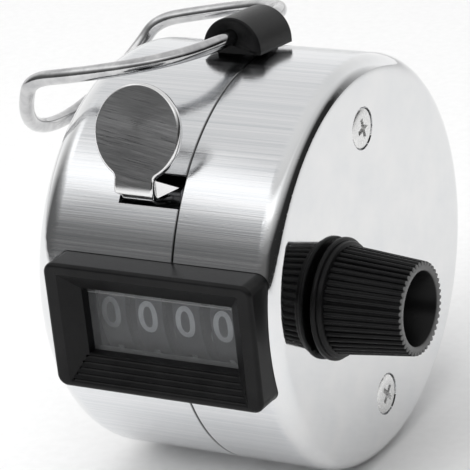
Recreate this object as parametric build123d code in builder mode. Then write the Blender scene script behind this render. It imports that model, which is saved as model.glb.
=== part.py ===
"""Hand tally counter: a two-shell drum case, a thumb lever, four number wheels, a reset knob, a finger ring.

Row frame, millimetres. +X runs along the drum from its flat left end face to the reset knob, the
window looks along -Y and +Z points up to the finger ring. The origin is the left end face's centre.
"""

import os
from math import atan2, cos, degrees, hypot, radians, sin

from build123d import *

os.makedirs("parts", exist_ok=True)

# Driving dimensions: fits
running = 0.05  # radial clearance of a pin or shaft that turns
seated = 0.02  # radial clearance of a piece that is held still
moving_gap = 0.35  # space between faces that pass each other

# Driving dimensions: case
case_radius = 22.0
wall = 0.8
seam_x = 17.5  # the left shell's width
left_edge_radius = 3.9
right_edge_radius = 2.1
seam_bevel = 0.15

# Driving dimensions: number wheels and ratchets, from the highest order to the units
wheel_names = ("thousands", "hundreds", "tens", "units")
wheel_radius = 9.5
wheel_pitch = 4.42
rim_width = 3.2
rim_wall = 0.9
web_thickness = 0.8
web_holes = 5
web_hole_radius = 1.2
hub_radius = 2.9
first_wheel_x = 6.68
reading_depth = 3.35  # from the drum's surface back to the digits
ratchet_radius = 7.0
ratchet_root = 6.0
ratchet_thickness = 0.9
ratchet_teeth = 10
carry_notch = 0.9  # extra depth of the one notch that lets the next prong drop in

# Driving dimensions: reset spindle and knob
spindle_radius = 1.5
bush_wall = 0.8
bush_flange = 0.5
bush_flange_rise = 0.8
clip_thickness = 0.5
clip_groove = 0.35
clip_rim = 1.2
collar_wall = 1.1
keyway_width = 0.6
keyway_depth = 0.8
washer_thickness = 0.4
edge_break = 0.2
knob_gap = 0.4
knob_flange_radius = 6.35
knob_flange_thickness = 1.1
knob_root_radius = 5.6
knob_tip_radius = 4.85
knob_length = 9.3
knob_bore_radius = 3.85
knob_floor = 2.6
knob_step = 0.35
knob_flutes = 44
flute_share = 0.3  # a flute's radius, as a share of the space from flute to flute

# Driving dimensions: window bezel and lens
bezel_left = 4.1
bezel_right_margin = 0.9  # from the bezel to the right end face
bezel_low = -6.35
bezel_high = 7.38
bezel_proud = 2.2
bezel_corner_radius = 1.2
bezel_edge_radius = 0.45
bezel_side_rim = 1.6  # flat rim outside the bevels
bezel_top_rim = 1.15
bezel_low_rim = 0.6
bezel_left_border = 3.55  # from the outside to the opening
bezel_right_border = 3.1
bezel_top_border = 2.95
bezel_low_border = 3.5
bevel_depth = 1.35
lens_depth = 2.45  # from the rim back to the lens
lens_thickness = 0.8
lens_overlap = 0.8
bevel_grooves = 5

# Driving dimensions: case frame, posts and screws
plate_thickness = 1.0
plate_margin = 2.4  # from the plate's rim to the drum's surface
post_radius = 2.0
post_stub_radius = 1.2
post_inset = 6.9
screw_radius = 1.0
screw_length = 6.0
screw_head_radius = 2.15
screw_head_height = 0.6
screw_cross = (2.7, 0.55, 0.7)
screw_turn = 20.0
spacer_radius = 1.5

# Driving dimensions: thumb lever, yoke and pawl
lever_from_seam = 5.1  # from the seam to the lever's middle
lever_angle = 20.0  # the thumb plate leans back by this much
lever_thickness = 0.9
lever_height = 0.1  # how far the plate's face stands off a plane tangent to the drum
disc_radius = 5.0
disc_rise = 12.5  # along the plate, from the tangent line to the disc's centre
neck_width = 4.6
neck_bottom = 5.85
neck_bend_radius = 1.8
waist_radius = 0.8
disc_edge_radius = 0.25
tab_step = 0.7  # the tab in the slot is this much narrower than the neck, on the left
gusset_thickness = 0.7
slot_width = 7.05
slot_height = 3.6
slot_angle = 38.4
pivot_angle = 40.0
pivot_depth = 4.5
pin_radius = 0.85
sleeve_radius = 1.35
arm_thickness = 0.8
arm_width = 2.6
press_angle = 14.0
pawl_pin_radius = 0.6
pawl_tube_radius = 1.3
prong_thickness = 0.6
prong_step = 0.3  # each higher prong is this much shorter
spring_wire = 0.2
pawl_spring_wire = 0.2

# Driving dimensions: ring block and finger ring
ring_angle = 96.5  # from the window's direction, up and over the drum
block_half_width = 3.4
block_length = 7.1
block_from_seam = 2.34
block_lift = 0.3
block_edge_radius = 0.25
foot_inset = 1.35  # the foot in from the block's sides
ring_wire = 0.8  # wire radius
ring_pivot_height = 2.15  # above the drum's surface
ring_tilt = -2.0  # the hinge line against the block
ring_slope = 10.4
ring_arm = 19.3
ring_half_width = 12.83
ring_arm_bulge = 16.0  # the arms' control point, out from the middle
bow_slope = 58.4
bow_depth = 9.9

# Worked-out places along X
ratchet_x = [first_wheel_x + i * wheel_pitch + rim_width for i in range(len(wheel_names))]
rim_gap = wheel_pitch - rim_width
stack_end = ratchet_x[-1] + ratchet_thickness
left_arm_x = first_wheel_x - 2 * moving_gap - arm_thickness
right_arm_x = stack_end + moving_gap
left_plate_x = left_arm_x - moving_gap - plate_thickness
right_plate_x = right_arm_x + arm_thickness + moving_gap
plate_to_end = 2.63  # room for the bush flange and the pin's clip outside the right plate
case_width = right_plate_x + plate_thickness + plate_to_end
bezel_right = case_width - bezel_right_margin

# Worked-out places across the drum, as (y, z)
spindle = (-(case_radius - reading_depth - wheel_radius), 0.0)
posts = [(0.0, case_radius - post_inset), (0.0, -(case_radius - post_inset))]
pivot_reach = case_radius - pivot_depth
pivot = (-pivot_reach * cos(radians(pivot_angle)), pivot_reach * sin(radians(pivot_angle)))
yoke_elbow = (spindle[0] + wheel_radius + 2.7, 3.0)
pawl_pivot = (spindle[0] + wheel_radius + 3.1, -6.5)
detent_bar = (spindle[0] + wheel_radius + 7.2, 7.0)
spacer_reach = case_radius - 6.2
spacers = [(spacer_reach * cos(radians(a)), spacer_reach * sin(radians(a))) for a in (5, -40)]
base_up = (Align.CENTER, Align.CENTER, Align.MIN)
base_down = (Align.CENTER, Align.CENTER, Align.MAX)


def axial(x, centre=(0.0, 0.0)):
    """A place at x whose own Z runs along the drum, centred on (y, z)."""
    return Plane.YZ.offset(x).location * Location((centre[0], centre[1], 0))


def drum_plane(angle, distance, x=0.0):
    """A plane facing out of the drum at an angle up from the window: own x along the drum, own y upwards."""
    out = (0, -cos(radians(angle)), sin(radians(angle)))
    return Plane(origin=(x, out[1] * distance, out[2] * distance), x_dir=(1, 0, 0), z_dir=out)


def turned(point, centre, angle):
    """A (y, z) point turned about a centre, the way the lever turns when it is pressed."""
    dy, dz = point[0] - centre[0], point[1] - centre[1]
    c, s = cos(radians(angle)), sin(radians(angle))
    return (centre[0] + dy * c + dz * s, centre[1] - dy * s + dz * c)


def coil_with_legs(start, radius, wire, turns, legs):
    """Adds a torsion coil along +X to the open part, with a straight leg at each end along the wire."""
    pitch = 2.4 * wire
    with BuildLine() as coil:
        Helix(pitch, pitch * turns, radius, center=start, direction=(1, 0, 0))
    first = Plane(origin=coil.line @ 0, z_dir=-(coil.line % 0))
    last = Plane(origin=coil.line @ 1, z_dir=coil.line % 1)
    with BuildSketch(first) as section:
        Circle(wire)
    sweep(section.sketch, path=coil.line, is_frenet=True)
    for end, leg in zip((first, last), legs):
        with Locations(end.location):
            Cylinder(wire, leg, align=base_up)


def save(builder, name):
    """Labels a finished piece and writes it as its own STEP file."""
    builder.part.label = name
    export_step(builder.part, f"parts/{name}.step")


# Case shells: pressed cups that butt at the seam
bezel_centre_x = (bezel_left + bezel_right) / 2
bezel_width = bezel_right - bezel_left
bezel_height = bezel_high - bezel_low
bezel_centre_z = (bezel_low + bezel_high) / 2
bezel_front_y = -(case_radius + bezel_proud)
bezel_back_y = -(case_radius - reading_depth) - 0.6
bezel_face = Plane(
    origin=(bezel_centre_x, bezel_front_y, bezel_centre_z), x_dir=(1, 0, 0), z_dir=(0, -1, 0)
)
block_x = seam_x - block_from_seam
foot_half_width = block_half_width - foot_inset
foot_length = block_length - 1.6
slot_plane = drum_plane(slot_angle, case_radius, seam_x - slot_width / 2)
block_plane = drum_plane(ring_angle, case_radius, block_x)
screw_seat = 0.5

with BuildPart() as left_shell:
    with BuildSketch(Plane.XY):
        with BuildLine():
            Polyline(
                (0, 0),
                (0, case_radius),
                (seam_x, case_radius),
                (seam_x, case_radius - wall),
                (wall, case_radius - wall),
                (wall, 0),
                close=True,
            )
        make_face()
        corners = vertices()
        fillet(corners.sort_by_distance((0, case_radius))[0], left_edge_radius)
        inner_corner = vertices().sort_by_distance((wall, case_radius - wall))[0]
        fillet(inner_corner, left_edge_radius - wall)
        chamfer(vertices().sort_by_distance((seam_x, case_radius))[0], seam_bevel)
    revolve(axis=Axis.X)
    with BuildSketch(bezel_face.offset(1)):
        RectangleRounded(
            bezel_width + 2 * running, bezel_height + 2 * running, bezel_corner_radius + running
        )
    extrude(amount=-(bezel_proud + case_radius - 12), mode=Mode.SUBTRACT)
    with BuildSketch(slot_plane.offset(2)):
        Rectangle(slot_width, slot_height)
    extrude(amount=-4.5, mode=Mode.SUBTRACT)
    with BuildSketch(block_plane.offset(1)):
        Rectangle(2 * (foot_half_width + seated), foot_length + 2 * seated)
    extrude(amount=-4, mode=Mode.SUBTRACT)
    for post in posts:
        with Locations(axial(0, post)):
            Cylinder(post_stub_radius + seated, wall, align=base_up, mode=Mode.SUBTRACT)
save(left_shell, "left_shell")

with BuildPart() as right_shell:
    with BuildSketch(Plane.XY):
        with BuildLine():
            Polyline(
                (case_width, 0),
                (case_width, case_radius),
                (seam_x, case_radius),
                (seam_x, case_radius - wall),
                (case_width - wall, case_radius - wall),
                (case_width - wall, 0),
                close=True,
            )
        make_face()
        fillet(vertices().sort_by_distance((case_width, case_radius))[0], right_edge_radius)
        inner_corner = vertices().sort_by_distance((case_width - wall, case_radius - wall))[0]
        fillet(inner_corner, right_edge_radius - wall)
        chamfer(vertices().sort_by_distance((seam_x, case_radius))[0], seam_bevel)
    revolve(axis=Axis.X)
    with BuildSketch(bezel_face.offset(1)):
        RectangleRounded(
            bezel_width + 2 * running, bezel_height + 2 * running, bezel_corner_radius + running
        )
    extrude(amount=-(bezel_proud + case_radius - 12), mode=Mode.SUBTRACT)
    with Locations(axial(case_width - wall, spindle)):
        Cylinder(spindle_radius + moving_gap, wall, align=base_up, mode=Mode.SUBTRACT)
    for post in posts:
        with Locations(axial(case_width - screw_seat, post)):
            Cylinder(screw_head_radius + 0.12, screw_seat, align=base_up, mode=Mode.SUBTRACT)
        with Locations(axial(case_width - wall, post)):
            Cylinder(screw_radius + running, wall, align=base_up, mode=Mode.SUBTRACT)
save(right_shell, "right_shell")

# Window bezel: a moulded frame through both shells, with a sloping, partly ribbed face
aperture_width = bezel_width - bezel_left_border - bezel_right_border
aperture_height = bezel_height - bezel_top_border - bezel_low_border
aperture_shift = (
    (bezel_left_border - bezel_right_border) / 2,
    (bezel_low_border - bezel_top_border) / 2,
)
bevel_width = bezel_width - 2 * bezel_side_rim
bevel_height = bezel_height - bezel_top_rim - bezel_low_rim
bevel_shift = (bezel_low_rim - bezel_top_rim) / 2
bezel_depth = bezel_back_y - bezel_front_y
lens_seat = bezel_face.offset(-lens_depth)
groove_width = 0.24
bevel_rise = bezel_low_border - bezel_low_rim
bevel_run = bezel_right_border - bezel_side_rim
with BuildPart() as window_bezel:
    with BuildSketch(bezel_face):
        RectangleRounded(bezel_width, bezel_height, bezel_corner_radius)
    extrude(amount=-bezel_depth)
    fillet(faces().sort_by(Axis.Y)[0].edges(), bezel_edge_radius)
    with BuildSketch(bezel_face):
        with Locations((0, bevel_shift)):
            Rectangle(bevel_width, bevel_height)
    with BuildSketch(bezel_face.offset(-bevel_depth)):
        with Locations(aperture_shift):
            Rectangle(aperture_width, aperture_height)
    loft(mode=Mode.SUBTRACT)
    with BuildSketch(bezel_face):
        with Locations(aperture_shift):
            Rectangle(aperture_width, aperture_height)
    extrude(amount=-bezel_depth, mode=Mode.SUBTRACT)
    with BuildSketch(lens_seat):
        with Locations(aperture_shift):
            Rectangle(aperture_width + 2 * lens_overlap, aperture_height + 2 * lens_overlap)
    extrude(amount=-(bezel_depth - lens_depth), mode=Mode.SUBTRACT)
    for i in range(bevel_grooves):
        share = (i + 0.5) / bevel_grooves
        groove_length = bevel_width - 2 * share * bevel_run - 2 * groove_width
        groove_y = bezel_front_y + share * bevel_depth
        groove_z = bezel_low + bezel_low_rim + share * bevel_rise
        with Locations(Location((bezel_centre_x, groove_y, groove_z), (45, 0, 0))):
            Box(groove_length, groove_width, groove_width, mode=Mode.SUBTRACT)
save(window_bezel, "window_bezel")

with BuildPart() as window_lens:
    with BuildSketch(lens_seat.offset(-seated)):
        with Locations(aperture_shift):
            Rectangle(
                aperture_width + 2 * (lens_overlap - running),
                aperture_height + 2 * (lens_overlap - running),
            )
    extrude(amount=-lens_thickness)
save(window_lens, "window_lens")

# Case posts: riveted into the left shell, tapped for the screws at the right
for post, name in zip(posts, ("upper_case_post", "lower_case_post")):
    with BuildPart() as case_post:
        with Locations(axial(wall, post)):
            Cylinder(post_radius, case_width - 2 * wall, align=base_up)
        with Locations(axial(0, post)):
            Cylinder(post_stub_radius, wall, align=base_up)
        with Locations(axial(case_width - wall - screw_length - 1, post)):
            Cylinder(screw_radius + seated, screw_length + 1, align=base_up, mode=Mode.SUBTRACT)
    save(case_post, name)

with BuildPart() as case_screws:
    for post in posts:
        with Locations(axial(case_width - screw_seat, post)):
            Cylinder(screw_head_radius, screw_head_height, align=base_up)
        with Locations(axial(case_width - screw_seat - screw_length, post)):
            Cylinder(screw_radius, screw_length, align=base_up)
    head_edges = edges().filter_by(GeomType.CIRCLE).group_by(Axis.X)[-1]
    fillet(head_edges, edge_break)
    for post in posts:
        for turn in (0, 90):
            with Locations(axial(case_width, post) * Location((0, 0, 0), (0, 0, turn + screw_turn))):
                Box(*screw_cross, mode=Mode.SUBTRACT)
save(case_screws, "case_screws")

# Inner frame: two stamped plates on the case posts, held apart by spacers
plate_radius = case_radius - plate_margin
plate_front_y = bezel_back_y + 0.5
for plate_x, name in ((left_plate_x, "left_frame_plate"), (right_plate_x, "right_frame_plate")):
    with BuildPart() as frame_plate:
        with BuildSketch(Plane.YZ.offset(plate_x)):
            Circle(plate_radius)
            with Locations((plate_front_y - plate_radius, 0)):
                Rectangle(2 * plate_radius, 2 * plate_radius, mode=Mode.SUBTRACT)
            with Locations(*posts):
                Circle(post_radius + seated, mode=Mode.SUBTRACT)
            with Locations(spindle):
                Circle(spindle_radius + bush_wall + seated, mode=Mode.SUBTRACT)
            with Locations(pivot):
                Circle(pin_radius + seated, mode=Mode.SUBTRACT)
        extrude(amount=plate_thickness)
    save(frame_plate, name)

inner_span = right_plate_x - left_plate_x - plate_thickness
with BuildPart() as frame_spacers:
    for spacer in spacers:
        with Locations(axial(left_plate_x + plate_thickness, spacer)):
            Cylinder(spacer_radius, inner_span, align=base_up)
save(frame_spacers, "frame_spacers")

# Reset spindle: runs in two flanged bushes, carries the wheels, turned by the knob
bush_length = plate_thickness + bush_flange
with BuildPart() as spindle_bushes:
    for start, flange_start in (
        (left_plate_x - bush_flange, left_plate_x - bush_flange),
        (right_plate_x, right_plate_x + plate_thickness),
    ):
        with Locations(axial(start, spindle)):
            Cylinder(spindle_radius + bush_wall, bush_length, align=base_up)
        with Locations(axial(flange_start, spindle)):
            Cylinder(spindle_radius + bush_wall + bush_flange_rise, bush_flange, align=base_up)
        with Locations(axial(start, spindle)):
            Cylinder(spindle_radius + running, bush_length, align=base_up, mode=Mode.SUBTRACT)
save(spindle_bushes, "spindle_bushes")

knob_x = case_width + knob_gap
clip_x = left_plate_x - bush_flange - 0.1 - clip_thickness
groove_radius = spindle_radius - clip_groove
spindle_start = clip_x - 0.4
spindle_end = knob_x + knob_floor + 1.0
with BuildPart() as reset_spindle:
    with Locations(axial(spindle_start, spindle)):
        Cylinder(spindle_radius, spindle_end - spindle_start, align=base_up)
    chamfer(edges().filter_by(GeomType.CIRCLE), edge_break)
    with Locations(axial(clip_x, spindle)):
        Cylinder(spindle_radius, clip_thickness, align=base_up, mode=Mode.SUBTRACT)
        Cylinder(groove_radius, clip_thickness, align=base_up)
    with Locations(axial(first_wheel_x, (spindle[0], spindle_radius))):
        Box(keyway_width, keyway_depth, stack_end - first_wheel_x, align=base_up, mode=Mode.SUBTRACT)
save(reset_spindle, "reset_spindle")

with BuildPart() as spindle_clip:
    with BuildSketch(Plane.YZ.offset(clip_x)):
        with Locations(spindle):
            Circle(spindle_radius + clip_rim)
            Circle(groove_radius + seated, mode=Mode.SUBTRACT)
        with Locations((spindle[0], -spindle_radius)):
            Rectangle(1.6 * groove_radius, 3 * spindle_radius, mode=Mode.SUBTRACT)
    extrude(amount=clip_thickness)
save(spindle_clip, "spindle_clip")

with BuildPart() as spindle_collars:
    for start, end in (
        (left_plate_x + plate_thickness + moving_gap, first_wheel_x - moving_gap),
        (stack_end + moving_gap, right_plate_x - moving_gap),
    ):
        with Locations(axial(start, spindle)):
            Cylinder(spindle_radius + collar_wall, end - start, align=base_up)
            Cylinder(spindle_radius + seated, end - start, align=base_up, mode=Mode.SUBTRACT)
save(spindle_collars, "spindle_collars")

with BuildPart() as reset_knob:
    knob_barrel_x = knob_x + knob_flange_thickness
    with BuildSketch(Plane.XY):
        with BuildLine():
            Polyline(
                (knob_x, spindle_radius + seated),
                (knob_x, knob_flange_radius),
                (knob_x + 0.45 * knob_flange_thickness, knob_flange_radius),
                (knob_x + 0.55 * knob_flange_thickness, knob_flange_radius - knob_step),
                (knob_barrel_x, knob_flange_radius - knob_step),
                (knob_barrel_x, knob_root_radius),
                (knob_x + knob_length, knob_tip_radius),
                (knob_x + knob_length, knob_bore_radius),
                (knob_x + knob_floor, knob_bore_radius),
                (knob_x + knob_floor, spindle_radius + seated),
                close=True,
            )
        make_face()
    revolve(axis=Axis.X)
    barrel_length = knob_length - knob_flange_thickness
    flute_radius = flute_share * knob_root_radius * radians(360 / knob_flutes)
    flute_lean = degrees(atan2(knob_root_radius - knob_tip_radius, barrel_length))
    for i in range(knob_flutes):
        spin = Location((0, 0, 0), (360 * i / knob_flutes, 0, 0))
        edge = Location((knob_barrel_x, 0, knob_root_radius), (0, 90 + flute_lean, 0))
        with Locations(spin * edge):
            Cylinder(flute_radius, 2 * barrel_length, align=base_up, mode=Mode.SUBTRACT)
reset_knob.part = reset_knob.part.moved(Location((0, spindle[0], spindle[1])))
save(reset_knob, "reset_knob")

with BuildPart() as knob_washer:
    with BuildSketch(Plane.YZ.offset(knob_x + knob_floor)):
        with Locations(spindle):
            Circle(spindle_radius + clip_rim)
            Circle(spindle_radius + seated, mode=Mode.SUBTRACT)
    extrude(amount=washer_thickness)
save(knob_washer, "knob_washer")

# Number wheels: a thin rim on a web and hub, each with its own pressed-on ratchet
for i, name in enumerate(wheel_names):
    wheel_x = first_wheel_x + i * wheel_pitch
    with BuildPart() as number_wheel:
        with BuildSketch(Plane.YZ.offset(wheel_x)):
            with Locations(spindle):
                Circle(wheel_radius)
                Circle(wheel_radius - rim_wall, mode=Mode.SUBTRACT)
        extrude(amount=rim_width)
        with Locations(axial(wheel_x + (rim_width - web_thickness) / 2, spindle)):
            Cylinder(wheel_radius - rim_wall / 2, web_thickness, align=base_up)
        with Locations(axial(wheel_x, spindle)):
            Cylinder(hub_radius, rim_width + ratchet_thickness, align=base_up)
            Cylinder(
                spindle_radius + running,
                rim_width + ratchet_thickness,
                align=base_up,
                mode=Mode.SUBTRACT,
            )
        with Locations(axial(wheel_x, spindle)):
            with PolarLocations(0.6 * wheel_radius, web_holes):
                Cylinder(web_hole_radius, rim_width, align=base_up, mode=Mode.SUBTRACT)
    save(number_wheel, f"{name}_wheel")

    with BuildPart() as ratchet:
        outline = []
        for tooth in range(ratchet_teeth):
            root = ratchet_root - (carry_notch if tooth == 0 and name != wheel_names[0] else 0)
            start = radians(360 * tooth / ratchet_teeth)
            end = radians(360 * (tooth + 0.9) / ratchet_teeth)
            outline.append((ratchet_radius * cos(start), ratchet_radius * sin(start)))
            outline.append((root * cos(start + 0.06), root * sin(start + 0.06)))
            outline.append((root * cos((start + end) / 2), root * sin((start + end) / 2)))
        with BuildSketch(Plane.YZ.offset(ratchet_x[i])):
            with Locations(spindle):
                Polygon(*outline, align=None)
                Circle(hub_radius + seated, mode=Mode.SUBTRACT)
        extrude(amount=ratchet_thickness)
    save(ratchet, f"{name}_ratchet")

# Thumb lever: one stamped plate, disc and neck outside, its tab bent in through the slot to the pivot
plate_face = case_radius + lever_height
plate_centre = plate_face - lever_thickness / 2
lever_x = seam_x - lever_from_seam
lever_plane = drum_plane(lever_angle, plate_face, lever_x)
lever_mid = drum_plane(lever_angle, plate_centre, lever_x)


def on_plate(rise):
    """The (y, z) place of a point on the plate's middle, at a rise from the tangent line."""
    point = lever_mid.from_local_coords((0, rise, 0))
    return (point.Y, point.Z)


gusset_top = (pivot[0] + 0.2, pivot[1] + sleeve_radius + 0.2)
with BuildPart() as thumb_lever:
    with BuildSketch(lever_plane):
        with Locations((0, disc_rise)):
            Circle(disc_radius)
        with Locations((0, (neck_bottom + 0.8 + disc_rise) / 2)):
            Rectangle(neck_width, disc_rise - neck_bottom - 0.8)
        waist = vertices().filter_by_position(Axis.Y, neck_bottom + 1, disc_rise - 0.5)
        fillet(waist, waist_radius)
    extrude(amount=-lever_thickness)
    rim_edges = edges().filter_by(GeomType.CIRCLE).filter_by(lambda e: e.radius > disc_radius - 0.1)
    fillet(rim_edges, disc_edge_radius)
    with BuildSketch(Plane.YZ.offset(lever_x - neck_width / 2)):
        with BuildLine():
            FilletPolyline(
                on_plate(neck_bottom + 1.5 * neck_bend_radius),
                on_plate(neck_bottom),
                pivot,
                radius=neck_bend_radius,
            )
        trace(line_width=lever_thickness)
    extrude(amount=neck_width)
    with BuildSketch(Plane.YZ.offset(lever_x + neck_width / 2 - gusset_thickness)):
        with BuildLine():
            Polyline(
                on_plate(neck_bottom + 1.5),
                on_plate(neck_bottom + 0.6),
                pivot,
                gusset_top,
                close=True,
            )
        make_face()
    extrude(amount=gusset_thickness)
    with Locations(axial(lever_x - neck_width / 2, (0, 0))):
        Cylinder(case_radius + 0.2, tab_step, align=base_up, mode=Mode.SUBTRACT)
    with Locations(axial(0, pivot)):
        Cylinder(sleeve_radius, case_width, align=base_up, mode=Mode.SUBTRACT)
save(thumb_lever, "thumb_lever")

# Yoke: a sleeve on the pivot pin and two arms that straddle the wheels, carrying the pawl's pin
with BuildPart() as pawl_yoke:
    with Locations(axial(left_arm_x, pivot)):
        Cylinder(sleeve_radius, right_arm_x + arm_thickness - left_arm_x, align=base_up)
    for arm_x in (left_arm_x, right_arm_x):
        with BuildSketch(Plane.YZ.offset(arm_x)):
            with BuildLine():
                FilletPolyline(pivot, yoke_elbow, pawl_pivot, radius=4)
            trace(line_width=arm_width)
            with Locations(pivot):
                Circle(sleeve_radius + 0.3)
        extrude(amount=arm_thickness)
    with Locations(axial(left_arm_x, pivot)):
        Cylinder(pin_radius + running, case_width, align=base_up, mode=Mode.SUBTRACT)
    with Locations(axial(left_arm_x, pawl_pivot)):
        Cylinder(pawl_pin_radius + seated, case_width, align=base_up, mode=Mode.SUBTRACT)
save(pawl_yoke, "pawl_yoke")

pin_head = 0.5
pin_head_rise = 0.7
pin_overhang = 1.4  # past the right plate's inner face
pin_groove = 0.25
pin_clip_rim = 0.9
pin_clip_x = right_plate_x + plate_thickness + 0.05
with BuildPart() as lever_pin:
    with Locations(axial(left_plate_x - pin_head, pivot)):
        Cylinder(pin_radius + pin_head_rise, pin_head, align=base_up)
        Cylinder(pin_radius, case_width - plate_to_end - left_plate_x + pin_overhang, align=base_up)
    with Locations(axial(pin_clip_x, pivot)):
        Cylinder(pin_radius, clip_thickness, align=base_up, mode=Mode.SUBTRACT)
        Cylinder(pin_radius - pin_groove, clip_thickness, align=base_up)
save(lever_pin, "lever_pin")

with BuildPart() as lever_pin_clip:
    with BuildSketch(Plane.YZ.offset(pin_clip_x)):
        with Locations(pivot):
            Circle(pin_radius + pin_clip_rim)
            Circle(pin_radius - pin_groove + seated, mode=Mode.SUBTRACT)
        with Locations((pivot[0], pivot[1] - pin_radius)):
            Rectangle(pin_radius, 2.4 * pin_radius, mode=Mode.SUBTRACT)
    extrude(amount=clip_thickness)
save(lever_pin_clip, "lever_pin_clip")

# Lever return spring: a torsion coil round the yoke's sleeve with a short leg at each end
coil_radius = sleeve_radius + moving_gap + spring_wire
coil_turns = 4
coil_start = lever_x + neck_width / 2 + 1.2
spring_legs = (1.2, 2.4)
with BuildPart() as lever_spring:
    coil_with_legs((coil_start, *pivot), coil_radius, spring_wire, coil_turns, spring_legs)
save(lever_spring, "lever_spring")

# Pawl: a comb of four stepped prongs on a tube, one prong for each ratchet
tip_gap = moving_gap
pawl_spring_room = 3.7
prong_half_root = 1.1
prong_tip = (0.5, 1.1)
throw = hypot(spindle[0] - pivot[0], spindle[1] - pivot[1])
tube_start = left_arm_x + arm_thickness + pawl_spring_room
tube_end = right_arm_x - moving_gap
with BuildPart() as pawl_comb:
    with Locations(axial(tube_start, pawl_pivot)):
        Cylinder(pawl_tube_radius, tube_end - tube_start, align=base_up)
    for i in range(len(wheel_names)):
        reach = throw + ratchet_radius + tip_gap + prong_step * (len(wheel_names) - 1 - i)
        aim = atan2(spindle[1] - pivot[1], spindle[0] - pivot[0])
        far_point = (pivot[0] + reach * cos(aim), pivot[1] + reach * sin(aim))
        tip = turned(far_point, pivot, -press_angle / 2)
        prong_x = ratchet_x[i] + (rim_gap - prong_thickness) / 2
        with BuildSketch(Plane.YZ.offset(prong_x)):
            Polygon(
                (pawl_pivot[0], pawl_pivot[1] + prong_half_root),
                tip,
                (tip[0] + prong_tip[0], tip[1] - prong_tip[1]),
                (pawl_pivot[0], pawl_pivot[1] - prong_half_root),
                align=None,
            )
        extrude(amount=prong_thickness)
    with Locations(axial(tube_start, pawl_pivot)):
        Cylinder(
            pawl_pin_radius + running, tube_end - tube_start, align=base_up, mode=Mode.SUBTRACT
        )
save(pawl_comb, "pawl_comb")

pawl_pin_start = left_arm_x
pawl_pin_length = right_arm_x + arm_thickness - left_arm_x
with BuildPart() as pawl_pin:
    with Locations(axial(pawl_pin_start, pawl_pivot)):
        Cylinder(pawl_pin_radius, pawl_pin_length, align=base_up)
save(pawl_pin, "pawl_pin")

pawl_coil_radius = pawl_pin_radius + 0.15 + pawl_spring_wire
pawl_coil_turns = 5
pawl_spring_legs = (1.6, 1.6)
pawl_coil_start = left_arm_x + arm_thickness + moving_gap + pawl_spring_wire
with BuildPart() as pawl_spring:
    coil_with_legs(
        (pawl_coil_start, *pawl_pivot),
        pawl_coil_radius,
        pawl_spring_wire,
        pawl_coil_turns,
        pawl_spring_legs,
    )
save(pawl_spring, "pawl_spring")

# Detent: a bar between the frame plates with a riveted four-finger leaf that rests by the ratchets
bar_size = 3.0
rivet_radius = 0.6
rivet_head_radius = 1.1
rivet_head_height = 0.5
rivet_places = (first_wheel_x + 3.0, stack_end - 3.0)
with BuildPart() as detent_bar_piece:
    with Locations(axial(left_plate_x + plate_thickness, detent_bar)):
        Box(bar_size, bar_size, inner_span, align=base_up)
    for rivet_x in rivet_places:
        with Locations((rivet_x, detent_bar[0], detent_bar[1])):
            Cylinder(rivet_radius + seated, bar_size, mode=Mode.SUBTRACT)
save(detent_bar_piece, "detent_bar")

leaf_thickness = 0.3
leaf_top = detent_bar[1] - bar_size / 2
finger_tip_radius = ratchet_radius + tip_gap
finger_tip = (spindle[0] + finger_tip_radius * cos(0.2), finger_tip_radius * sin(0.2))
finger_root = (detent_bar[0] - bar_size / 2, leaf_top - leaf_thickness / 2)
with BuildPart() as detent_spring:
    with BuildSketch(Plane.XY.offset(leaf_top)):
        with Locations(((left_plate_x + plate_thickness + right_plate_x) / 2, detent_bar[0])):
            Rectangle(inner_span - 2, bar_size)
        for rivet_x in rivet_places:
            with Locations((rivet_x, detent_bar[0])):
                Circle(rivet_radius + seated, mode=Mode.SUBTRACT)
    extrude(amount=-leaf_thickness)
    for start in ratchet_x:
        with BuildSketch(Plane.YZ.offset(start + (rim_gap - prong_thickness) / 2)):
            with BuildLine():
                Polyline((finger_root[0] + 0.3, finger_root[1]), finger_root, finger_tip)
            trace(line_width=leaf_thickness)
        extrude(amount=prong_thickness)
save(detent_spring, "detent_spring")

with BuildPart() as detent_rivets:
    for rivet_x in rivet_places:
        with Locations((rivet_x, detent_bar[0], leaf_top - leaf_thickness)):
            Cylinder(rivet_radius, bar_size + leaf_thickness, align=base_up)
            Cylinder(rivet_head_radius, rivet_head_height, align=base_down)
        with Locations((rivet_x, detent_bar[0], leaf_top + bar_size)):
            Cylinder(rivet_head_radius, rivet_head_height, align=base_up)
save(detent_rivets, "detent_rivets")

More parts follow.
